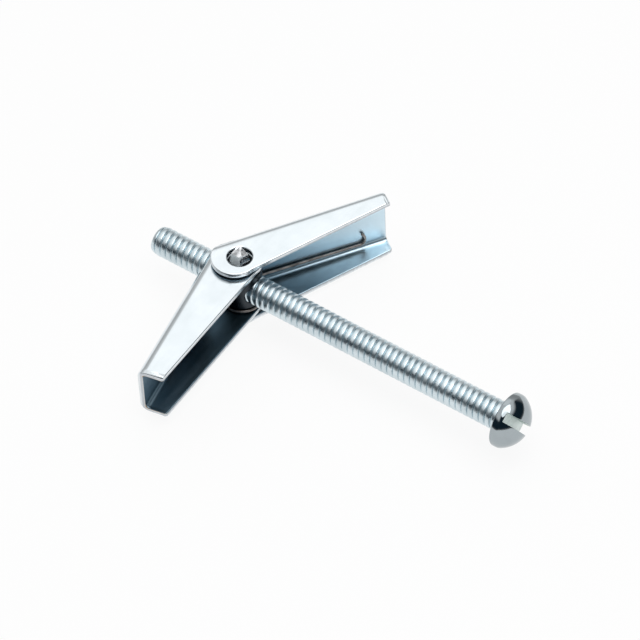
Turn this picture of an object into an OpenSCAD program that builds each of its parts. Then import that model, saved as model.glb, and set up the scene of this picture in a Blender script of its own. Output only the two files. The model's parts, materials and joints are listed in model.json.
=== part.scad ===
// Spring toggle bolt: a slotted round-head screw through a trunnion nut, with two sprung folding wings.
// Origin: centre of the head's seat. +X runs along the screw and out of the head, +Z along the wing hinge.

/* [Screw] */
// Outside diameter of the thread
thread_d = 4.76; // [4:0.01:6.4]
// Distance from one turn of the thread to the next
thread_pitch = 1.058; // [0.8:0.002:1.4]
// Depth of the thread
thread_depth = 0.45; // [0.3:0.05:0.7]
// Length under the head
screw_length = 65.7; // [50:0.1:100]
// Length from the hinge to the free end
tail_length = 16.2; // [8:0.1:20]
// Chamfer on the free end
tip_chamfer = 0.35; // [0.1:0.05:0.8]
// Diameter of the round head
head_d = 9; // [7.5:0.1:12]
// Height of the head over its seat
head_h = 4; // [3.2:0.1:4.8]
// Height of the head's straight rim under the dome
head_rim_h = 1; // [0.3:0.1:1.4]
// Width of the driver slot
slot_w = 1.6; // [1:0.1:2.2]
// Depth of the driver slot below the top of the dome
slot_depth = 2.55; // [1:0.05:2.75]
// Turn of the driver slot about the screw, from +Y towards +Z
slot_turn = -59; // [-90:1:90]

/* [Nut] */
// Wall of the nut beside the thread
nut_wall = 0.92; // [0.6:0.02:1.6]
// Wall of the nut above the spring
nut_floor = 0.34; // [0.2:0.02:0.8]
// Size of the square lugs along the screw
lug_l = 2.4; // [1.6:0.1:2.6]
// Size of the square lugs across the screw
lug_w = 2.3; // [1.6:0.1:2.6]
// How far the lugs stand out of the outer ears
lug_proud = 1.2; // [0.6:0.1:2]

/* [Wings] */
// Sheet thickness of both wings
sheet_t = 0.9; // [0.6:0.05:1.2]
// Hinge to wing tip
wing_length = 25.8; // [18:0.1:32]
// Inside radius of the folds between web and flanges
fold_r = 0.8; // [0.2:0.05:0.9]
// Radius of the round end of the ears
ear_r = 3.9; // [3.2:0.05:4.8]
// How far the ear's round end is centred behind the hinge, along the wing
ear_shift = 0.6; // [0:0.1:0.9]
// How far the ear's round end is centred behind the hinge, across the wing
ear_drop = 0.45; // [0:0.05:0.6]
// How far the ears' back edge stands inside the back of the web
ear_trim = 0.5; // [0.3:0.05:0.8]
// How far the flanges' free edge lies behind the hinge at the tip
tip_edge_drop = 1.05; // [0.5:0.05:1.6]
// Rest angle of the outer, right wing from the screw
right_angle = 57; // [45:1:75]
// Rest angle of the inner, left wing from the screw
left_angle = 79; // [60:1:85]

/* [Spring] */
// Diameter of the spring wire
wire_d = 0.5; // [0.4:0.02:0.7]
// How far the spring's right hook stands inside the wing tip
right_hook_inset = 3.8; // [2:0.1:8]
// How far the spring's left hook stands inside the wing tip
left_hook_inset = 8; // [4:0.1:12]
// Height of the hooks at the ends of the spring
hook_h = 2.3; // [1.6:0.1:3]
// How far the right leg drops to its hook
leg_drop = 0.5; // [0:0.05:0.6]

/* [Hidden] */

$fn = 64;

// Overrun of every cut past the face that it opens
overrun = 1;
// Plain stretch under the head, before the first turn
thread_run_out = 0.3;
// Where a turn leaves its crest, reaches its root, leaves the root and is back at the crest
turn_shares = [0.3, 0.47, 0.53, 0.7];
// Radial play of the screw in the nut
thread_play = 0.05;
// Radial play of the lugs' corners in the ear holes
lug_play = 0.34;
// Flat gap between the nut and the inner ears, at each end
nut_gap = 0.1;
// Flat gap between the ears of the two wings, at each end
ear_gap = 0.35;
// Play between the nut's side and each wing's web
right_web_play = 0.1;
left_web_play = 1.25;
// Gap between an ear's round end and the web that it turns past
ear_clear = 0.45;
// How far the cut between the ears goes into their inner faces
ear_relief = 0.03;
// Gap between the spring wire and what it lies beside, and between its turns
wire_gap = 0.05;
// Play of the spring's coil around the nut's neck
coil_play = 0.55;

thread_r = thread_d / 2;
root_r = thread_r - thread_depth;
thread_start = tip_chamfer - screw_length;
turns = floor((screw_length - tip_chamfer - thread_run_out) / thread_pitch);
head_r = head_d / 2;
dome_h = head_h - head_rim_h;
dome_r = (head_r * head_r + dome_h * dome_h) / (2 * dome_h);
hinge_x = tail_length - screw_length;

wire_r = wire_d / 2;
wire_sides = 10;
coil_step_angle = 12;
hook_steps = 4;
hook_bend_share = 1.8;
hook_bend_r = hook_bend_share * wire_d;
// Where the ear's straight edges start, from its centre out to its round end
edge_start_share = 0.98;
// Direction from the ear's centre to where its back corner joins the round end
back_lean = 205;
wound_from = 90 + right_angle;
wound_to = 360 + 270 - left_angle;
coil_rise = (wire_d + wire_gap) * (wound_to - wound_from) / 360;

nut_r = thread_r + thread_play + nut_wall;
nut_bottom = -thread_r - thread_play - nut_floor;
ear_floor = coil_rise + wire_d + 2 * wire_gap - nut_bottom;
nut_top = ear_floor - nut_gap;
left_height = 2 * (ear_floor + sheet_t);
right_height = left_height + 2 * (ear_gap + sheet_t);
lug_end = right_height / 2 + lug_proud;

bend_r = fold_r + sheet_t;
bend_steps = 12;
right_back = nut_r + right_web_play + sheet_t;
left_back = nut_r + left_web_play + sheet_t;
ear_hole_d = norm([lug_l, lug_w]) + 2 * lug_play;
ear_side = ear_r + ear_shift + overrun;
ear_sweep = ear_r + norm([ear_shift, ear_drop]) + ear_clear;
web_face = nut_r + right_web_play;
web_start = sqrt(ear_sweep * ear_sweep - web_face * web_face);

coil_r = web_face - wire_r - wire_gap;
coil_low = -ear_floor + wire_gap + wire_r;
neck_r = coil_r - wire_r - coil_play;
right_leg = wing_length - right_hook_inset;
left_leg = wing_length - left_hook_inset;

// Plan position of a point that lies u along a wing and v towards the head, on side +1 (right) or -1 (left)
function on_wing(side, angle, u, v) =
    [hinge_x + u * cos(angle) + v * sin(angle), side * (u * sin(angle) - v * cos(angle))];

function unit(v) = v / norm(v);
function tangent(path, i) = unit(path[min(i + 1, len(path) - 1)] - path[max(i - 1, 0)]);
function squared(n, t) = unit(n - (n * t) * t);
function normals(path, n, i = 0) =
    i == len(path) ? [] : let (m = squared(n, tangent(path, i))) concat([m], normals(path, m, i + 1));

// Round wire swept along a path; n is a first guess at a direction across the path's start
module wire(path, r, sides, n) {
    across = normals(path, n);
    points = [
        for (i = [0:len(path) - 1])
            let (t = tangent(path, i), side = cross(t, across[i]))
                for (k = [0:sides - 1])
                    path[i] + r * (cos(360 * k / sides) * across[i] + sin(360 * k / sides) * side)
    ];
    last = (len(path) - 1) * sides;
    walls = [
        for (i = [0:len(path) - 2])
            for (k = [0:sides - 1])
                let (a = i * sides + k, b = i * sides + (k + 1) % sides)
                    [a, a + sides, b + sides, b]
    ];
    start = [for (k = [0:sides - 1]) k];
    end = [for (k = [sides - 1:-1:0]) last + k];
    polyhedron(points, concat([start], walls, [end]));
}

function arc(centre, r, from, to) =
    [for (k = [0:bend_steps]) centre + r * [cos(from + (to - from) * k / bend_steps),
                                            sin(from + (to - from) * k / bend_steps)]];

// Folded channel of a wing along +X, open towards +Y, before its plan is cut
module channel(height, back) {
    depth = back + ear_r + overrun;
    upper = [bend_r, height / 2 - bend_r];
    lower = [bend_r, bend_r - height / 2];
    translate([-ear_side, -back, 0])
        rotate([90, 0, 90])
            linear_extrude(ear_side + wing_length + overrun)
                polygon(concat(
                    [[depth, height / 2]],
                    arc(upper, bend_r, 90, 180),
                    arc(lower, bend_r, 180, 270),
                    [[depth, -height / 2], [depth, sheet_t - height / 2]],
                    arc(lower, fold_r, 270, 180),
                    arc(upper, fold_r, 180, 90),
                    [[depth, height / 2 - sheet_t]]
                ));
}

// Upright block in the plan of the wing: round ear, and a free edge that runs from the ear's side to the tip
module plan_block(height, back) {
    reach = [wing_length + ear_shift, ear_drop - tip_edge_drop];
    lean = 90 - asin(ear_r / norm(reach)) + atan2(reach[1], reach[0]);
    ear = [-ear_shift, -ear_drop];
    translate(ear)
        cylinder(h = height, r = ear_r, center = true);
    linear_extrude(height, center = true)
        polygon([
            ear + edge_start_share * ear_r * [cos(lean), sin(lean)],
            [wing_length, -tip_edge_drop],
            [wing_length, -back - overrun],
            [-ear_shift, -back - overrun],
            ear + edge_start_share * ear_r * [cos(back_lean), sin(back_lean)],
            ear
        ]);
}

// One folded wing, drilled for the lugs, with its web and folds cut away between the ears
module wing(height, back) {
    inside = height - 2 * sheet_t + 2 * ear_relief;
    difference() {
        intersection() {
            channel(height, back);
            plan_block(height + 2 * overrun, back);
        }
        translate([-ear_side, -back - overrun, -height / 2 - overrun])
            cube([ear_side + web_start, overrun + ear_trim, height + 2 * overrun]);
        translate([-ear_side, -back - overrun, -inside / 2])
            cube([ear_side + web_start, overrun + bend_r, inside]);
        cylinder(h = height + 2 * overrun, d = ear_hole_d, center = true);
    }
}

// One turn of the thread in the shank's half section, from z upwards
function turn_points(z) = [
    [thread_r, z + turn_shares[0] * thread_pitch],
    [root_r, z + turn_shares[1] * thread_pitch],
    [root_r, z + turn_shares[2] * thread_pitch],
    [thread_r, z + turn_shares[3] * thread_pitch]
];

// Shank from its chamfered free end to the head's seat, with a ring groove for each turn of the thread
module shank() {
    rotate_extrude()
        polygon(concat(
            [[0, -screw_length], [thread_r - tip_chamfer, -screw_length], [thread_r, thread_start]],
            [for (k = [0:turns - 1]) each turn_points(thread_start + k * thread_pitch)],
            [[thread_r, 0], [0, 0]]
        ));
}

module screw() {
    color("lightsteelblue")
        rotate([0, 90, 0])
            difference() {
                union() {
                    shank();
                    intersection() {
                        cylinder(h = head_h + overrun, r = head_r);
                        translate([0, 0, head_h - dome_r])
                            sphere(dome_r);
                    }
                }
                rotate(slot_turn)
                    translate([-slot_w / 2, -head_r - overrun, head_h - slot_depth])
                        cube([slot_w, head_d + 2 * overrun, slot_depth + overrun]);
            }
}

module nut() {
    color("silver")
        translate([hinge_x, 0, 0])
            difference() {
                union() {
                    translate([0, 0, nut_bottom])
                        cylinder(h = nut_top - nut_bottom, r = nut_r);
                    translate([0, 0, -nut_top])
                        cylinder(h = nut_top, r = neck_r);
                    cube([lug_l, lug_w, 2 * lug_end], center = true);
                }
                rotate([0, 90, 0])
                    cylinder(h = 2 * (nut_r + overrun), r = thread_r + thread_play, center = true);
            }
}

module right_wing() {
    color("gainsboro")
        translate([hinge_x, 0, 0])
            rotate(right_angle)
                mirror([0, 1, 0])
                    wing(right_height, right_back);
}

module left_wing() {
    color("whitesmoke")
        translate([hinge_x, 0, 0])
            rotate(-left_angle)
                wing(left_height, left_back);
}

// One end of the spring, from the hook's top to the foot of its leg
function leg_end(side, angle, reach, v, z) = concat(
    [concat(on_wing(side, angle, reach, v), z + hook_h)],
    [
        for (k = [0:hook_steps])
            let (a = 90 * k / hook_steps, u = reach - hook_bend_r * (1 - cos(a)))
                concat(on_wing(side, angle, u, v), z + hook_bend_r * (1 - sin(a)))
    ]
);

module spring() {
    steps = ceil((wound_to - wound_from) / coil_step_angle);
    coil = [
        for (k = [0:steps])
            let (a = wound_from + (wound_to - wound_from) * k / steps)
                [hinge_x + coil_r * cos(a), coil_r * sin(a), coil_low + coil_rise * k / steps]
    ];
    left_v = sheet_t + wire_r + wire_gap - left_back;
    right_end = leg_end(1, right_angle, right_leg, -coil_r, coil_low - leg_drop);
    right_foot = [concat(on_wing(1, right_angle, ear_sweep, -coil_r), coil_low)];
    left_end = leg_end(-1, left_angle, left_leg, left_v, coil_low + coil_rise);
    back_to_front = [for (i = [len(left_end) - 1:-1:0]) left_end[i]];
    color("dimgray")
        wire(concat(right_end, right_foot, coil, back_to_front), wire_r, wire_sides, [1, 0, 0]);
}

screw();
nut();
right_wing();
left_wing();
spring();
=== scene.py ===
"""Spring toggle bolt: rolled thread, slotted head, sheared sheet wings, peened lugs and wire spring."""
import json
import math

import bmesh
import bpy
from mathutils import Matrix, Vector, noise


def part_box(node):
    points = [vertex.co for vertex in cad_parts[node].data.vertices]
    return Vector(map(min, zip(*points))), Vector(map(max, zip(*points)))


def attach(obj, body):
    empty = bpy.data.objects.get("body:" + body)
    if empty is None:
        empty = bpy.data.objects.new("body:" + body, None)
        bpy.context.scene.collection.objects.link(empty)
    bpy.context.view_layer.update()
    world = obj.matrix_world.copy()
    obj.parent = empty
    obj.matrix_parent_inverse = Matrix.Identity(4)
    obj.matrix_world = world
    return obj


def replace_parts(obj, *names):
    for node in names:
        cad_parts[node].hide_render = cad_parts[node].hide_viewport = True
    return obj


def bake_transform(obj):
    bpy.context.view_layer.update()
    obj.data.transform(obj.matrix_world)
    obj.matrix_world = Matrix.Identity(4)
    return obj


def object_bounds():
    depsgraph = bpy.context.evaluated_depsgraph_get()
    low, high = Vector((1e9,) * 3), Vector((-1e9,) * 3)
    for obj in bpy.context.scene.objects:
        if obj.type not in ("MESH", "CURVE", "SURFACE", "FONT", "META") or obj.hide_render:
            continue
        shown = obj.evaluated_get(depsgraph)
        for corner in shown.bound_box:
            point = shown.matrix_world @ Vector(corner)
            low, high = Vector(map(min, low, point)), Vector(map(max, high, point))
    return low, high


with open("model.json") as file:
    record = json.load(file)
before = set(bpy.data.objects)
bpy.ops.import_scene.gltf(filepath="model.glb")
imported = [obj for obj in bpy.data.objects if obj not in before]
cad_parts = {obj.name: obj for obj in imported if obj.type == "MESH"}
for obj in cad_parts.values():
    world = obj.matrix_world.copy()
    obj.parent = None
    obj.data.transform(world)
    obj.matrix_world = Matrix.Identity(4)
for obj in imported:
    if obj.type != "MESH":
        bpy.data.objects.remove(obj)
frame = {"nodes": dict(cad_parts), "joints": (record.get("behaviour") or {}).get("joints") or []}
cad_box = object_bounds()

MM = 0.001
X, Y, Z = Vector((1, 0, 0)), Vector((0, 1, 0)), Vector((0, 0, 1))
same_point = 1e-7

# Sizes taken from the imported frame
joints = {joint["name"]: joint for joint in frame["joints"]}
hinge = Vector(joints["right_wing_fold"]["pos_m"])
right_angle = math.radians(joints["right_wing_fold"]["range_deg"][1])
left_angle = math.radians(joints["left_wing_fold"]["range_deg"][1])
screw_low, screw_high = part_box("screw")
nut_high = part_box("nut")[1]
right_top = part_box("right_wing")[1].z
left_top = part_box("left_wing")[1].z
nut_r = nut_high.y

# Sizes of the screw that a box does not give
thread_r = 2.38 * MM
pitch = 25.4 / 24 * MM
thread_depth = 0.4 * MM
root_r = thread_r - thread_depth
point_taper = 1.1 * MM
thread_seat = 0.12 * MM
thread_in_head = 0.8 * MM
roll_mark_depth = 0.012 * MM
roll_mark_size = 0.5 * MM
head_h = 4.0 * MM
head_rim_h = 1.0 * MM
slot_w = 1.6 * MM
slot_depth = 2.55 * MM
slot_turn = math.radians(-59)
slot_edge = 0.07 * MM
slot_slack = 0.02 * MM

# Sizes of the nut; the lug's end is beaten down in the direction lug_way, past lug_ridge
lug_size = Vector((2.4, 2.3, 0)) * MM
lug_root = 0.6 * MM
lug_taper = 0.2
lug_turn = math.radians(-9)
lug_way = (0.82, 0.57)
lug_ridge = 0.25 * MM
lug_fall = 0.75
lug_round = 0.22
dent_size = 0.7 * MM
dent_depth = 0.1 * MM
dent_bulge = 0.04
streak_size = (0.28 * MM, 0.9 * MM)
streak_depth = 0.22 * MM
lug_face_drop = 0.02 * MM
nut_gap = 0.1 * MM
nut_floor = 2.77 * MM
nut_chamfer = 0.18 * MM
neck_r = 2.35 * MM
bore_gap = 0.05 * MM
bore_merge = 1e-6

# Sizes of the wings
sheet_t = 0.9 * MM
wing_length = 25.8 * MM
right_back = 4.35 * MM
left_back = 5.5 * MM
bend_r = 1.7 * MM
ear_relief = 0.03 * MM
relief_slack = 0.001 * MM
sheet_merge = 4e-6
tip_edge_drop = 1.05 * MM
tip_slack = 0.01 * MM
tip_corner = 0.35 * MM
tip_roll = 0.75 * MM
tip_drop = 0.28 * MM
edge_r = 0.2 * MM
web_start = 3.756 * MM
web_slack = 0.02 * MM

# Painted shade inside each channel, at the hinge and at the tip, how much more on its back wall near the
# hinge, and the power by which it eases along the wing
right_shade = (0.72, 0.0)
left_shade = (0.95, 0.62)
back_wall_shade = 0.35
shade_ease = 0.75

# Sizes of the spring
wire_r = 0.25 * MM
wire_gap = 0.05 * MM
right_hook_inset = 3.8 * MM
left_hook_inset = 8.0 * MM
hook_h = 2.3 * MM
hook_bend_r = 0.9 * MM
hook_curl = 0.4 * MM
leg_drop = 0.5 * MM
leg_foot = 5.1 * MM

# View of the photograph, in its own pixels
frame_px = 640
hinge_px = (241.62, 282.01)
focal_px = 4513.9
view_azimuth = math.radians(-52.36)
view_elevation = math.radians(50.02)
view_roll = math.radians(3.157)
view_distance = 706.3 * MM
crest_from_hinge = 13.354 * MM
sensor_mm = 36

# Studio: a dark room towards room_azimuth and a dark stand behind the camera, each fading over an edge
# that is given as cosines of the angle from its middle
floor_size = 6.0
floor_tone = (0.9, 0.9, 0.9, 1)
floor_glow = 0.9
room_azimuth = math.radians(-35)
room_edge = (-0.5, -0.15)
stand_edge = (0.86, 0.95)
navy = (0.012, 0.026, 0.038)
world_strength = 0.98


def view_axes():
    """Right, up and back of the camera, in the row frame."""
    a, e, r = view_azimuth, view_elevation, view_roll
    back = Vector((math.cos(e) * math.cos(a), math.cos(e) * math.sin(a), math.sin(e)))
    right = Vector((-math.sin(a), math.cos(a), 0))
    up = back.cross(right)
    c, s = math.cos(r), math.sin(r)
    return c * right - s * up, s * right + c * up, back


# Small mesh helpers

def new_piece(name, bm, body, slot, *materials):
    """Makes an object of a mesh, that rides on a body, if one is named, and takes the given materials."""
    mesh = bpy.data.meshes.new(name)
    bm.to_mesh(mesh)
    bm.free()
    for material in materials:
        mesh.materials.append(material)
    piece = bpy.data.objects.new(name, mesh)
    bpy.context.scene.collection.objects.link(piece)
    if body:
        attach(piece, body)
    return piece


def smooth_by_angle(bm, degrees):
    """Smooth faces, with edges sharper than the angle kept crisp."""
    limit = math.radians(degrees)
    for face in bm.faces:
        face.smooth = True
    for edge in bm.edges:
        edge.smooth = len(edge.link_faces) == 2 and edge.calc_face_angle(0) < limit


def crisp_edges(bm, degrees):
    """The edges at which two faces meet more sharply than the angle."""
    limit = math.radians(degrees)
    return [edge for edge in bm.edges if len(edge.link_faces) == 2 and edge.calc_face_angle(0) > limit]


def join_flat_faces(bm, degrees):
    """Joins the faces that lie in one plane, to within the angle."""
    limit = math.radians(degrees)
    bmesh.ops.dissolve_limit(bm, angle_limit=limit, verts=bm.verts[:], edges=bm.edges[:])


def close_up(bm):
    """Joins the vertices that meet, and turns the faces outwards."""
    bmesh.ops.remove_doubles(bm, verts=bm.verts[:], dist=same_point)
    bmesh.ops.recalc_face_normals(bm, faces=bm.faces[:])


def grid_faces(bm, rows):
    """Quads between rows of vertices that each close on themselves."""
    for low, high in zip(rows, rows[1:]):
        count = len(low)
        for k in range(count):
            quad = [low[k], low[(k + 1) % count], high[(k + 1) % count], high[k]]
            bm.faces.new(quad)


def lathe(bm, profile, origin, axis, across, segments):
    """Turns (along, radius) points about an axis; an end with no radius closes to a point."""
    up = axis.cross(across)
    rows = []
    for along, radius in profile:
        row = []
        for k in range(segments):
            t = 2 * math.pi * k / segments
            out = math.cos(t) * across + math.sin(t) * up
            row.append(bm.verts.new(origin + along * axis + radius * out))
        rows.append(row)
    grid_faces(bm, rows)
    close_up(bm)


def cut_with(piece, cutter_bm):
    """Cuts a solid out of a piece's mesh, for good."""
    mesh = bpy.data.meshes.new("cutter")
    cutter_bm.to_mesh(mesh)
    cutter_bm.free()
    cutter = bpy.data.objects.new("cutter", mesh)
    bpy.context.scene.collection.objects.link(cutter)
    modifier = piece.modifiers.new("cut", "BOOLEAN")
    modifier.object = cutter
    modifier.solver = "EXACT"
    graph = bpy.context.evaluated_depsgraph_get()
    cut_mesh = bpy.data.meshes.new_from_object(piece.evaluated_get(graph))
    piece.modifiers.clear()
    piece.data = cut_mesh
    bpy.data.objects.remove(cutter)


def box_bm(low, high, matrix):
    """A box between two corners, placed by a matrix."""
    bm = bmesh.new()
    bmesh.ops.create_cube(bm, size=1)
    middle, size = (low + high) / 2, high - low
    for vert in bm.verts:
        corner = Vector((vert.co.x * size.x, vert.co.y * size.y, vert.co.z * size.z))
        vert.co = matrix @ (middle + corner)
    return bm


# Materials

def nodes_of(name):
    """A new node material, its tree and its shader."""
    material = bpy.data.materials.new(name)
    material.use_nodes = True
    tree = material.node_tree
    return material, tree, tree.nodes["Principled BSDF"]


def add(tree, kind, **values):
    """Adds a shader node and sets its inputs by name, or its own settings."""
    node = tree.nodes.new(kind)
    for key, value in values.items():
        if key in node.inputs:
            node.inputs[key].default_value = value
        else:
            setattr(node, key, value)
    return node


def ramp(tree, source, stops):
    """Colour ramp through (place, grey or colour) stops."""
    node = tree.nodes.new("ShaderNodeValToRGB")
    elements = node.color_ramp.elements
    while len(elements) < len(stops):
        elements.new(0.5)
    for element, (place, value) in zip(elements, stops):
        element.position = place
        colour = value if isinstance(value, tuple) else (value,) * 3
        element.color = (*colour, 1)
    tree.links.new(source, node.inputs["Fac"])
    return node.outputs["Color"]


def mixed(tree, share, first, second, how="MIX"):
    """Two colours mixed by a share, which is a number or a socket."""
    node = add(tree, "ShaderNodeMix", data_type="RGBA", blend_type=how)
    colours = [socket for socket in node.inputs if socket.type == "RGBA"]
    if isinstance(share, float):
        node.inputs[0].default_value = share
    else:
        tree.links.new(share, node.inputs[0])
    tree.links.new(first, colours[0])
    tree.links.new(second, colours[1])
    return next(socket for socket in node.outputs if socket.type == "RGBA")


def noise_of(tree, scale, detail=4.0, stretch=(1, 1, 1), turn=0.0):
    """Noise over the piece's own coordinates, in turns per metre, stretched along its axes."""
    place = add(tree, "ShaderNodeTexCoord")
    mapping = add(tree, "ShaderNodeMapping")
    mapping.inputs["Scale"].default_value = stretch
    mapping.inputs["Rotation"].default_value = (0, 0, turn)
    tree.links.new(place.outputs["Object"], mapping.inputs["Vector"])
    node = add(tree, "ShaderNodeTexNoise", Scale=scale, Detail=detail)
    tree.links.new(mapping.outputs["Vector"], node.inputs["Vector"])
    return node.outputs["Fac"]


def bump(tree, shader, height, strength, distance):
    """Fine relief on a shader from a height."""
    node = add(tree, "ShaderNodeBump", Strength=strength, Distance=distance)
    tree.links.new(height, node.inputs["Height"])
    tree.links.new(node.outputs["Normal"], shader.inputs["Normal"])


def zinc(name, light, dark, roughness, grain, stretch, turn, relief, metallic=1.0):
    """Bright zinc: cloudy tone, uneven polish and fine drawn marks."""
    material, tree, shader = nodes_of(name)
    shader.inputs["Metallic"].default_value = metallic
    cloud = noise_of(tree, scale=260, detail=5.0)
    marks = noise_of(tree, grain, 3.0, stretch, turn)
    tone = ramp(tree, cloud, [(0.3, dark), (0.62, light)])
    polish = ramp(tree, marks, [(0.35, roughness[0]), (0.7, roughness[1])])
    tree.links.new(tone, shader.inputs["Base Color"])
    tree.links.new(polish, shader.inputs["Roughness"])
    bump(tree, shader, marks, relief, 0.02 * MM)
    return material


def cut_edge(name):
    """Sheared edge: a bright burnished band outside, a dull broken band with a warm lip inside."""
    material, tree, shader = nodes_of(name)
    shader.inputs["Metallic"].default_value = 1.0
    depth = add(tree, "ShaderNodeAttribute", attribute_name="sheet_depth").outputs["Fac"]
    streaks = noise_of(tree, scale=2200, detail=3.0, stretch=(1, 1, 0.12))
    bands = ramp(tree, depth, [(0.0, (0.86, 0.9, 0.92)), (0.42, (0.84, 0.88, 0.9)),
                               (0.54, (0.6, 0.64, 0.68)), (0.84, (0.58, 0.61, 0.64)),
                               (0.93, (0.76, 0.74, 0.71)), (1.0, (0.46, 0.34, 0.24))])
    streaked = mixed(tree, 0.5, bands, ramp(tree, streaks, [(0.3, 0.62), (0.7, 1.0)]), "MULTIPLY")
    tree.links.new(streaked, shader.inputs["Base Color"])
    tree.links.new(ramp(tree, depth, [(0.3, 0.12), (0.5, 0.22)]), shader.inputs["Roughness"])
    bump(tree, shader, streaks, 0.15, 0.03 * MM)
    return material


def shade_painted_zinc(name, bright, dark):
    """Inside of the channels, with painted shade: bright at the mouth, dark blue in the depth and towards
    the hinge.
    """
    material, tree, shader = nodes_of(name)
    shader.inputs["Metallic"].default_value = 1.0
    # The channel's tone is painted shade: darker deep inside and towards the hinge
    depth = add(tree, "ShaderNodeAttribute", attribute_name="painted_channel_shade").outputs["Fac"]
    cloud = noise_of(tree, scale=240, detail=4.0)
    shade = mixed(tree, 0.15, ramp(tree, depth, [(0.0, bright), (1.0, dark)]),
                  ramp(tree, cloud, [(0.3, 0.72), (0.7, 1.0)]), "MULTIPLY")
    tree.links.new(shade, shader.inputs["Base Color"])
    marks = noise_of(tree, scale=1300, detail=3.0, stretch=(1, 0.1, 1), turn=0.5)
    tree.links.new(ramp(tree, marks, [(0.35, 0.3), (0.7, 0.4)]), shader.inputs["Roughness"])
    bump(tree, shader, marks, 0.02, 0.02 * MM)
    return material


def drawn_wire(name):
    """Dark oiled spring wire with mottled marks."""
    material, tree, shader = nodes_of(name)
    shader.inputs["Metallic"].default_value = 1.0
    mottle = noise_of(tree, scale=900, detail=4.0)
    tone = ramp(tree, mottle, [(0.3, (0.2, 0.175, 0.16)), (0.75, (0.44, 0.41, 0.39))])
    tree.links.new(tone, shader.inputs["Base Color"])
    tree.links.new(ramp(tree, mottle, [(0.3, 0.5), (0.7, 0.3)]), shader.inputs["Roughness"])
    bump(tree, shader, mottle, 0.2, 0.02 * MM)
    return material


wing_zinc = zinc("wing_zinc_sheet", (0.785, 0.84, 0.87), (0.725, 0.785, 0.815), (0.13, 0.22),
                 grain=1400, stretch=(1, 0.08, 1), turn=0.5, relief=0.05)
edge_zinc = cut_edge("wing_cut_edge")
# Painted shade: the channels' insides go from sky blue at the mouth to dark navy deep inside
painted_channel_shade_zinc = shade_painted_zinc("wing_shade_painted_zinc", (0.68, 0.84, 0.93), (0.02, 0.08, 0.13))
screw_zinc = zinc("screw_rolled_zinc", (0.7, 0.79, 0.83), (0.59, 0.68, 0.72), (0.26, 0.4),
                  grain=1900, stretch=(0.35, 1, 1), turn=0.0, relief=0.2)
# Painted shade: the head's zinc is darker than the thread's, standing in for the darker surroundings it
# reflects
head_painted_shade_zinc = zinc("screw_polished_painted_shade_zinc", (0.39, 0.435, 0.455), (0.34, 0.38, 0.4), (0.08, 0.13),
                 grain=900, stretch=(1, 1, 1), turn=0.0, relief=0.02)
slot_zinc = zinc("screw_sawn_slot", (0.76, 0.83, 0.81), (0.6, 0.67, 0.65), (0.5, 0.68),
                 grain=2600, stretch=(1, 0.1, 1), turn=0.4, relief=0.4)
# Painted shade: the nut is near black, far darker than its plating, for the shade between the ears
nut_zinc = zinc("nut_painted_shade_zinc", (0.045, 0.052, 0.06), (0.025, 0.03, 0.034), (0.25, 0.42),
                grain=1500, stretch=(1, 1, 0.3), turn=0.0, relief=0.2)
lug_zinc = zinc("nut_peened_zinc", (0.86, 0.88, 0.9), (0.5, 0.52, 0.54), (0.14, 0.34),
                grain=1700, stretch=(0.4, 1, 1), turn=0.6, relief=0.5)
# Painted light: a pale, nearly diffuse flank stands in for the light falling on the lugs' -Y sides
painted_light_flank_zinc = zinc("nut_painted_light_flank", (0.93, 0.98, 0.99), (0.82, 0.9, 0.92), (0.3, 0.5),
                  grain=1500, stretch=(1, 1, 0.3), turn=0.0, relief=0.3, metallic=0.1)
wire_steel = drawn_wire("spring_drawn_wire")


# Screw

def thread_row_shares():
    """(share of a pitch, share of the depth) once round a rolled thread: broad crests, narrow roots."""
    rows = 14
    root_sharpness = 5
    shares = []
    for k in range(rows):
        from_crest = 2 * min(k, rows - k) / rows
        shares.append((k / rows, from_crest ** root_sharpness))
    return shares


def helix_places():
    """(place along the screw, share of the depth) down the thread, from past its free end into the head."""
    crest_x = hinge.x + crest_from_hinge
    turns_back = math.ceil((crest_x - screw_low.x) / pitch) + 1
    turns_on = math.floor((thread_seat - crest_x) / pitch) + 3
    shares = thread_row_shares()
    places = []
    for turn in range(-turns_back, turns_on):
        for pitch_share, depth_share in shares:
            places.append((crest_x + (turn + pitch_share) * pitch, depth_share))
    return places


def thread_radius(x, depth_share, out):
    """Radius of the thread, with the taper of the point and the fine marks of rolling."""
    tapered = root_r + (thread_r - root_r) * min(1, math.sqrt((x - screw_low.x) / point_taper))
    radius = min(thread_r - depth_share * thread_depth, tapered)
    place = Vector((x, out.y * thread_r, out.z * thread_r))
    return radius - abs(roll_mark_depth * noise.noise(place / roll_mark_size))


def thread_column(places, out, lead, first):
    """Points down one side of the screw: its flat free end, the thread, and a close inside the head."""
    free_end = screw_low.x
    led = [(min(x + lead, thread_in_head), depth_share) for x, depth_share in places]
    ahead = sum(1 for x, depth_share in led if x < free_end)
    points = []
    for row, (x, depth_share) in enumerate(led):
        if row < ahead:
            share = max(0.0, (row - first) / (ahead - first))
            points.append(free_end * X + root_r * share * out)
        elif x == thread_in_head:
            points.append(thread_in_head * X)
        else:
            points.append(x * X + thread_radius(x, depth_share, out) * out)
    return points


def helix_faces(bm, rows, per_turn):
    """Quads between helical rows, whose last column meets the first one a turn further on."""
    for row, (low, high) in enumerate(zip(rows, rows[1:])):
        for k in range(len(low) - 1):
            bm.faces.new([low[k], high[k], high[k + 1], low[k + 1]])
        if row + per_turn + 1 < len(rows):
            seam_low, seam_high = rows[row + per_turn][0], rows[row + per_turn + 1][0]
            bm.faces.new([low[-1], high[-1], seam_high, seam_low])


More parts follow.
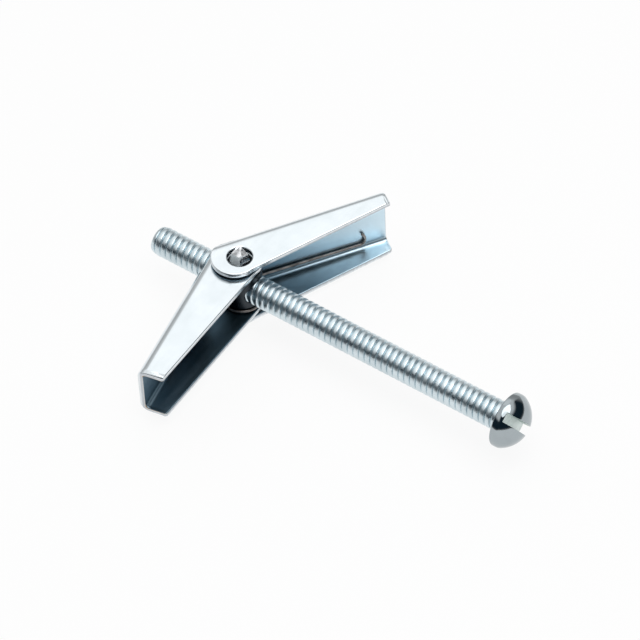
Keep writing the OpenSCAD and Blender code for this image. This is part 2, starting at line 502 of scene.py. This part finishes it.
def threaded_shank():
    """Shank whose rows of vertices follow the helix, started where the photograph has a crest."""
    columns = 72
    seen_edge = view_axes()[2].cross(X)
    crest_turn = math.atan2(seen_edge.z, seen_edge.y)
    per_turn = len(thread_row_shares())
    places = helix_places()
    points = []
    for k in range(columns):
        angle = crest_turn + 2 * math.pi * k / columns
        out = Vector((0, math.cos(angle), math.sin(angle)))
        first = per_turn * (1 - k / columns)
        points.append(thread_column(places, out, pitch * k / columns, first))
    bm = bmesh.new()
    rows = [[bm.verts.new(column[row]) for column in points] for row in range(len(places))]
    helix_faces(bm, rows, per_turn)
    close_up(bm)
    smooth_by_angle(bm, 60)
    return new_piece("screw_thread", bm, "screw", "screw_zinc", screw_zinc)


def head_profile():
    """(along, radius) points of the round head: its seat, a soft rim and the dome."""
    rim_steps, dome_steps = 4, 30
    head_r = screw_high.z
    dome_h = head_h - head_rim_h
    dome_r = (head_r ** 2 + dome_h ** 2) / (2 * dome_h)
    rim_turn = math.asin(head_r / dome_r)
    profile = [(0, 0), (0, head_r - 3 * edge_r)]
    for k in range(rim_steps + 1):
        a = math.pi / 2 * k / rim_steps
        profile.append((edge_r * (1 - math.cos(a)), head_r - edge_r * (1 - math.sin(a))))
    profile.append((head_rim_h - 1.2 * edge_r, head_r))
    profile.append((head_rim_h - 0.3 * edge_r, head_r - 0.12 * edge_r))
    for k in range(1, dome_steps + 1):
        a = rim_turn * (1 - k / dome_steps)
        profile.append((head_h - dome_r + dome_r * math.cos(a), dome_r * math.sin(a)))
    return profile


def slotted_head():
    """Round head with a sawn slot and broken slot edges."""
    bm = bmesh.new()
    lathe(bm, head_profile(), Vector(), X, Y, 96)
    head = new_piece("screw_head", bm, None, "screw_zinc", head_painted_shade_zinc, slot_zinc)
    turn = Matrix.Rotation(slot_turn, 4, X)
    reach = 2 * screw_high.z
    slot_low = Vector((head_h - slot_depth, -reach, -slot_w / 2))
    slot_high = Vector((head_h + reach, reach, slot_w / 2))
    cut_with(head, box_bm(slot_low, slot_high, turn))
    bm = bmesh.new()
    bm.from_mesh(head.data)
    join_flat_faces(bm, 0.5)
    bmesh.ops.bevel(bm, geom=crisp_edges(bm, 38), offset=slot_edge, segments=2, profile=0.5,
                    affect="EDGES", clamp_overlap=True)
    across = turn @ Z
    for face in bm.faces:
        middle = face.calc_center_median()
        within_width = abs(middle.dot(across)) < slot_w / 2 + slot_slack
        above_floor = middle.x > head_h - slot_depth - slot_slack
        face.material_index = 1 if within_width and above_floor else 0
    smooth_by_angle(bm, 40)
    bm.to_mesh(head.data)
    bm.free()
    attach(head, "screw")
    return head


# Nut

def nut_top():
    """Half the height of the barrel, which fills the room between the inner ears."""
    return left_top - sheet_t - nut_gap


def hammered(place):
    """How far the lug's end is beaten down: a facet on one side, a round shoulder on the other."""
    aside = lug_way[0] * place.x + lug_way[1] * place.y - lug_ridge
    return lug_fall * aside if aside > 0 else lug_round * aside ** 2 / MM


def lug_row(end, share, steps):
    """Points round the lug at a share of its height: a square that tapers, dented and beaten down."""
    foot, top = nut_top() - lug_root, nut_high.z
    half = lug_size / 2
    turn = Matrix.Rotation(lug_turn, 3, "Z")
    taper_from, corner_from, corner_break = 0.5, 0.6, 0.1
    taper = 1 - lug_taper * max(0.0, share - taper_from) / (1 - taper_from)
    row = []
    for k in range(4 * steps):
        side, along = divmod(k, steps)
        t = 2 * along / steps - 1
        corner = [(t, -1), (1, t), (-t, 1), (-1, -t)][side]
        round_off = 1 - corner_break * max(0.0, abs(t) - corner_from)
        place = turn @ Vector((corner[0] * half.x, corner[1] * half.y, 0)) * taper * round_off
        dent = noise.noise(place / dent_size + Vector((0, 0, share * 2 + end)))
        place *= 1 + dent_bulge * dent * share
        drop = share ** 2 * (dent_depth * abs(dent) + hammered(place))
        place.z = end * (foot + (top - foot) * share - drop)
        row.append(place)
    return row


def lug_face_rows(bm, rim, end):
    """Rows of vertices from the lug's rim to the middle of its end, with streaks of the hammer."""
    rows = []
    for inset in (0.85, 0.6, 0.3, 0.0):
        row = []
        for vert in rim:
            flat = vert.co - hinge
            place = Vector((flat.x * inset, flat.y * inset, 0))
            streak = noise.noise(Vector((place.x / streak_size[0], place.y / streak_size[1], end)))
            place.z = end * (nut_high.z - lug_face_drop - streak_depth * abs(streak) - hammered(place))
            row.append(bm.verts.new(hinge + place))
        rows.append(row)
    return rows


def peened_lug(bm, end):
    """Square lug whose end is hammered, so it is lopsided and its edges are broken."""
    steps = 8
    foot = hinge + end * (nut_top() - lug_root) * Z
    rows = [[bm.verts.new(foot) for k in range(4 * steps)]]
    for level in range(steps + 1):
        rows.append([bm.verts.new(hinge + place) for place in lug_row(end, level / steps, steps)])
    rows += lug_face_rows(bm, rows[-1], end)
    grid_faces(bm, rows)


def nut_barrel():
    """Barrel bored across for the screw, with a thinner neck for the coil below."""
    top, low = nut_top(), -nut_floor
    chamfer = nut_chamfer
    profile = [(-top, 0), (-top, neck_r - chamfer), (-top + chamfer, neck_r), (low, neck_r),
               (low, nut_r - chamfer), (low + chamfer, nut_r), (top - chamfer, nut_r),
               (top, nut_r - chamfer), (top, 0)]
    bm = bmesh.new()
    lathe(bm, profile, hinge, Z, X, 72)
    nut = new_piece("nut_barrel", bm, None, "nut_zinc", nut_zinc)
    bore_r, reach = thread_r + bore_gap, 2 * nut_r
    bore = bmesh.new()
    lathe(bore, [(-reach, 0), (-reach, bore_r), (reach, bore_r), (reach, 0)], hinge, X, Y, 64)
    cut_with(nut, bore)
    bm = bmesh.new()
    bm.from_mesh(nut.data)
    bmesh.ops.remove_doubles(bm, verts=bm.verts[:], dist=bore_merge)
    join_flat_faces(bm, 0.5)
    smooth_by_angle(bm, 30)
    bm.to_mesh(nut.data)
    bm.free()
    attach(nut, "nut")
    return nut


def nut_lugs():
    """A peened lug at each end of the nut, with a pale flank of painted light on its -Y side."""
    bm = bmesh.new()
    for end in (-1, 1):
        peened_lug(bm, end)
    close_up(bm)
    flank_facing = -0.7
    for face in bm.faces:
        # Painted light: faces turned to -Y take the pale flank material
        face.material_index = 1 if face.normal.y < flank_facing else 0
    smooth_by_angle(bm, 32)
    return new_piece("nut_lugs", bm, "nut", "nut_zinc", lug_zinc, painted_light_flank_zinc)


# Wings

def wing_axes(side, angle):
    """Along the wing, and across it towards the head."""
    along = Vector((math.cos(angle), side * math.sin(angle), 0))
    across = Vector((math.sin(angle), -side * math.cos(angle), 0))
    return along, across


def sheet_plan(node, top):
    """A copy of a node's folded sheet as clean faces, without the fine step that clears the other ear."""
    bm = bmesh.new()
    bm.from_mesh(frame["nodes"][node].data)
    for vert in bm.verts:
        if abs(abs(vert.co.z) - (top - sheet_t + ear_relief)) < relief_slack:
            vert.co.z = math.copysign(top - sheet_t, vert.co.z)
    bmesh.ops.remove_doubles(bm, verts=bm.verts[:], dist=sheet_merge)
    join_flat_faces(bm, 1)
    return bm


def round_tips(bm, along, across):
    """Rounds the free corners of both flanges, in plan."""
    corners = []
    for edge in bm.edges:
        flats = [vert.co - hinge for vert in edge.verts]
        upright = abs(flats[0].z - flats[1].z) > 0.5 * sheet_t
        at_tip = all(abs(flat.dot(along) - wing_length) < tip_slack for flat in flats)
        at_edge = all(abs(flat.dot(across) + tip_edge_drop) < tip_slack for flat in flats)
        if upright and at_tip and at_edge:
            corners.append(edge)
    bmesh.ops.bevel(bm, geom=corners, offset=tip_corner, segments=4, profile=0.5, affect="EDGES")


def roll_tips(bm, along, top):
    """Bends the last of each flange towards the other, as shearing leaves it."""
    for share in (0.25, 0.5, 0.75, 1.0):
        geometry = bm.verts[:] + bm.edges[:] + bm.faces[:]
        cut_at = hinge + along * (wing_length - share * tip_roll)
        bmesh.ops.bisect_plane(bm, geom=geometry, plane_co=cut_at, plane_no=along, dist=same_point)
    for vert in bm.verts:
        over = ((vert.co - hinge).dot(along) - wing_length + tip_roll) / tip_roll
        above = (abs(vert.co.z) - top + bend_r) / bend_r
        if over > 0 and above > 0:
            vert.co.z -= math.copysign(tip_drop * above * over ** 2, vert.co.z)


def inside_web_root(edge, along, across, top, back):
    """Whether an edge is inside the web's hinge end, where a round would run out in the fold."""
    for vert in edge.verts:
        flat = vert.co - hinge
        inward = flat.dot(across) + back - bend_r
        upward = abs(flat.z) - top + bend_r
        below_skin = bend_r - math.hypot(min(0.0, inward), max(0.0, upward))
        if abs(flat.dot(along) - web_start) > web_slack or below_skin < 0.5 * sheet_t:
            return False
    return True


def depth_in_sheet(flat, along, across, top, back):
    """How far into the sheet a point lies, from 0 outside to 1 inside the channel."""
    nearest = top - abs(flat.z)
    if flat.dot(along) > web_start:
        nearest = min(nearest, flat.dot(across) + back)
    return max(0.0, min(1.0, nearest / sheet_t))


def write_depths(bm, along, across, top, back, shade):
    """Gives each vertex its depth in the sheet and the painted shade of the channel there, for the
    materials.
    """
    depth = bm.verts.layers.float.new("sheet_depth")
    painted_channel_shade = bm.verts.layers.float.new("painted_channel_shade")
    for vert in bm.verts:
        flat = vert.co - hinge
        vert[depth] = depth_in_sheet(flat, along, across, top, back)
        # Painted shade: darker towards the hinge, and more on the back wall
        out = max(0.0, min(1.0, flat.dot(along) / wing_length)) ** shade_ease
        on_back_wall = flat.dot(across) + back < bend_r
        back_wall_extra_shade = back_wall_shade * (1 - out) if on_back_wall else 0.0
        vert[painted_channel_shade] = min(1.0, shade[0] + (shade[1] - shade[0]) * out + back_wall_extra_shade)


def wing_material(face, along, across, top, back):
    """Which of the wing's materials a face takes: 0 the sheet, 1 the cut edge, 2 inside the channel, with
    painted shade.
    """
    steep, inner_skin = 0.6, 0.9
    flat = face.calc_center_median() - hinge
    upright = abs(face.normal.z) < steep
    facing_end = upright and abs(face.normal.dot(along)) > steep
    on_flange = flat.dot(across) > bend_r - back + edge_r or flat.dot(along) < web_start - edge_r
    if facing_end or (upright and on_flange):
        return 1
    return 2 if depth_in_sheet(flat, along, across, top, back) > inner_skin else 0


def sheared_wing(node, side, angle, top, back, shade):
    """Folded sheet with rolled tips, rounded sheared edges, a dull cut face and painted shade inside the
    channel.
    """
    along, across = wing_axes(side, angle)
    bm = sheet_plan(node, top)
    round_tips(bm, along, across)
    roll_tips(bm, along, top)
    rounded = [edge for edge in crisp_edges(bm, 35)
               if not inside_web_root(edge, along, across, top, back)]
    bmesh.ops.bevel(bm, geom=rounded, offset=edge_r, segments=3, profile=0.5, affect="EDGES")
    bmesh.ops.dissolve_degenerate(bm, dist=same_point, edges=bm.edges[:])
    write_depths(bm, along, across, top, back, shade)
    for face in bm.faces:
        face.material_index = wing_material(face, along, across, top, back)
    smooth_by_angle(bm, 30)
    piece = new_piece(node + "_sheet", bm, node, "wing_zinc", wing_zinc, edge_zinc, painted_channel_shade_zinc)
    piece.modifiers.new("flat_faces", "WEIGHTED_NORMAL").keep_sharp = True
    return piece


# Spring

def round_ended(path):
    """(point, share of the wire's radius) along a path, with a rounded end before and after it."""
    caps = [(1.0, 0.0), (0.75, 0.66), (0.4, 0.92)]
    before = (path[0] - path[1]).normalized()
    after = (path[-1] - path[-2]).normalized()
    points = [(path[0] + before * wire_r * out, share) for out, share in caps]
    points += [(point, 1.0) for point in path]
    points += [(path[-1] + after * wire_r * out, share) for out, share in reversed(caps)]
    return points


def wire_tube(name, path):
    """Round wire along a path, with rounded ends."""
    sides = 14
    points = round_ended(path)
    bm = bmesh.new()
    rows = []
    side = (path[1] - path[0]).orthogonal()
    for i, (point, share) in enumerate(points):
        heading = (points[min(i + 1, len(points) - 1)][0] - points[max(i - 1, 0)][0]).normalized()
        side = (side - side.dot(heading) * heading).normalized()
        other = heading.cross(side)
        row = []
        for k in range(sides):
            t = 2 * math.pi * k / sides
            row.append(bm.verts.new(point + wire_r * share * (math.cos(t) * side + math.sin(t) * other)))
        rows.append(row)
    grid_faces(bm, rows)
    close_up(bm)
    smooth_by_angle(bm, 80)
    piece = new_piece(name, bm, None, "spring_steel", wire_steel)
    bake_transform(piece)
    return piece


def hooked_leg(side, angle, reach, v, z):
    """From the hook's top, round its bend and along the wing towards the coil."""
    hook_steps, bend_steps = 5, 6
    hook_fall = 0.1
    along, across = wing_axes(side, angle)
    base = hinge + across * v + Z * z
    points = []
    for k in range(hook_steps + 1):
        lean = hook_curl * (1 - k / hook_steps) ** 2
        points.append(base + along * (reach - lean) + Z * hook_h * (1 - hook_fall * k))
    for k in range(bend_steps + 1):
        a = math.pi / 2 * k / bend_steps
        points.append(base + along * (reach - hook_bend_r * (1 - math.cos(a)))
                      + Z * hook_bend_r * (1 - math.sin(a)))
    return points


def torsion_spring():
    """One wire wound round the nut's neck, in two halves that each follow a wing."""
    steps = 96
    wound_from = math.pi / 2 + right_angle
    wound_to = 2 * math.pi + 1.5 * math.pi - left_angle
    rise = (2 * wire_r + wire_gap) * (wound_to - wound_from) / (2 * math.pi)
    coil_r = nut_r + 2 * wire_gap - wire_r - wire_gap
    coil_low = sheet_t - left_top + wire_gap + wire_r
    coil = []
    for k in range(steps + 1):
        a = wound_from + (wound_to - wound_from) * k / steps
        place = Vector((coil_r * math.cos(a), coil_r * math.sin(a), coil_low + rise * k / steps))
        coil.append(hinge + place)
    right_along, right_across = wing_axes(1, right_angle)
    left_across = wing_axes(-1, left_angle)[1]
    foot = hinge + right_along * leg_foot - right_across * coil_r + Z * coil_low
    left_v = sheet_t + wire_r + wire_gap - left_back
    right_leg = hooked_leg(1, right_angle, wing_length - right_hook_inset, -coil_r, coil_low - leg_drop)
    left_leg = hooked_leg(-1, left_angle, wing_length - left_hook_inset, left_v, coil_low + rise)
    middle = steps // 2
    halves = [
        ("spring_right", right_leg + [foot] + coil[:middle + 1], "right_wing", right_across),
        ("spring_left", left_leg + coil[:middle - 1:-1], "left_wing", left_across),
    ]
    return [wire_tube(name, path)
            for name, path, wing, across in halves]


# Stage

def white_floor():
    """Plain white floor that keeps the object's shadow."""
    bm = bmesh.new()
    bmesh.ops.create_grid(bm, x_segments=1, y_segments=1, size=floor_size / 2)
    mesh = bpy.data.meshes.new("floor")
    bm.to_mesh(mesh)
    bm.free()
    floor = bpy.data.objects.new("floor", mesh)
    bpy.context.scene.collection.objects.link(floor)
    floor.location = (hinge.x / 2, 0, cad_box[0].z)
    material, tree, shader = nodes_of("floor_white")
    shader.inputs["Base Color"].default_value = floor_tone
    shader.inputs["Roughness"].default_value = 0.9
    shader.inputs["Specular IOR Level"].default_value = 0.0
    glow = add(tree, "ShaderNodeEmission", Strength=1.0)
    mix = add(tree, "ShaderNodeMixShader")
    tree.links.new(seen_directly(tree, floor_glow), mix.inputs[0])
    tree.links.new(shader.outputs[0], mix.inputs[1])
    tree.links.new(glow.outputs[0], mix.inputs[2])
    tree.links.new(mix.outputs[0], tree.nodes["Material Output"].inputs["Surface"])
    mesh.materials.append(material)


def seen_directly(tree, share):
    """The share for camera, mirror and see-through rays, and nothing for the rest."""
    path = add(tree, "ShaderNodeLightPath")
    total = path.outputs["Is Camera Ray"]
    for name in ("Is Glossy Ray", "Is Transmission Ray"):
        either = add(tree, "ShaderNodeMath", operation="MAXIMUM")
        tree.links.new(total, either.inputs[0])
        tree.links.new(path.outputs[name], either.inputs[1])
        total = either.outputs[0]
    scaled = add(tree, "ShaderNodeMath", operation="MULTIPLY")
    tree.links.new(total, scaled.inputs[0])
    scaled.inputs[1].default_value = share
    return scaled.outputs[0]


def towards(tree, place, direction):
    """Cosine between a direction of the world and a fixed one."""
    node = add(tree, "ShaderNodeVectorMath", operation="DOT_PRODUCT")
    node.inputs[1].default_value = direction
    tree.links.new(place, node.inputs[0])
    return node.outputs["Value"]


def studio_world():
    """Bright overhead, a dark blue room round half the horizon, a grey wall, and the camera's dark stand."""
    world = bpy.data.worlds.new("studio")
    bpy.context.scene.world = world
    world.use_nodes = True
    tree = world.node_tree
    place = add(tree, "ShaderNodeTexCoord").outputs["Generated"]
    split = add(tree, "ShaderNodeSeparateXYZ")
    tree.links.new(place, split.inputs[0])
    height = add(tree, "ShaderNodeMapRange")
    height.inputs["From Min"].default_value = -1.0
    tree.links.new(split.outputs["Z"], height.inputs["Value"])
    wall = ramp(tree, height.outputs["Result"],
                [(0.0, 0.5), (0.5, 0.5), (0.62, 0.46), (0.76, 0.58), (0.86, 0.98), (1.0, 1.0)])
    room = ramp(tree, height.outputs["Result"],
                [(0.0, 0.5), (0.5, 0.24), (0.55, navy), (0.78, navy), (0.85, 0.9), (1.0, 1.0)])
    share = add(tree, "ShaderNodeMapRange", interpolation_type="SMOOTHSTEP")
    share.inputs["From Min"].default_value, share.inputs["From Max"].default_value = room_edge
    room_way = (math.cos(room_azimuth), math.sin(room_azimuth), 0)
    tree.links.new(towards(tree, place, room_way), share.inputs["Value"])
    tone = mixed(tree, share.outputs["Result"], wall, room)
    stand = ramp(tree, towards(tree, place, view_axes()[2]), [(stand_edge[0], 0.0), (stand_edge[1], 1.0)])
    dark = add(tree, "ShaderNodeRGB").outputs[0]
    dark.default_value = (*navy, 1)
    background = tree.nodes["Background"]
    tree.links.new(mixed(tree, stand, tone, dark), background.inputs["Color"])
    background.inputs["Strength"].default_value = world_strength


def softbox(name, place, size, power):
    """Round soft lamp at a place from the middle of the screw, turned towards it."""
    lamp = bpy.data.lights.new(name, "AREA")
    lamp.shape = "DISK"
    lamp.size = size
    lamp.energy = power
    light = bpy.data.objects.new(name, lamp)
    bpy.context.scene.collection.objects.link(light)
    light.location = hinge / 2 + place
    light.rotation_euler = place.to_track_quat("Z", "Y").to_euler()


def camera():
    """Camera that puts the hinge where the photograph has it."""
    right, up, back = view_axes()
    aside = (hinge_px[0] - frame_px / 2) / focal_px * view_distance
    above = -(hinge_px[1] - frame_px / 2) / focal_px * view_distance
    data = bpy.data.cameras.new("camera")
    data.sensor_width = sensor_mm
    data.lens = sensor_mm * focal_px / frame_px
    data.clip_start, data.clip_end = 0.01, 50
    eye = bpy.data.objects.new("camera", data)
    bpy.context.scene.collection.objects.link(eye)
    turn = Matrix((right, up, back)).transposed().to_4x4()
    eye.matrix_world = Matrix.Translation(hinge - aside * right - above * up + view_distance * back) @ turn
    bpy.context.scene.camera = eye


camera()
white_floor()
studio_world()
softbox("key_softbox", Vector((-0.25, 0.32, 0.5)), size=0.42, power=0.1)
softbox("top_softbox", Vector((0.17, -0.04, 0.67)), size=0.74, power=2.5)
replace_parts(threaded_shank(), "screw")
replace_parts(slotted_head(), "screw")
for nut_piece in (nut_barrel(), nut_lugs()):
    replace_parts(nut_piece, "nut")
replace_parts(sheared_wing("right_wing", 1, right_angle, right_top, right_back, right_shade), "right_wing")
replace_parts(sheared_wing("left_wing", -1, left_angle, left_top, left_back, left_shade), "left_wing")
for half in torsion_spring():
    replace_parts(half, "spring")

bpy.context.scene.view_settings.view_transform = "Standard"
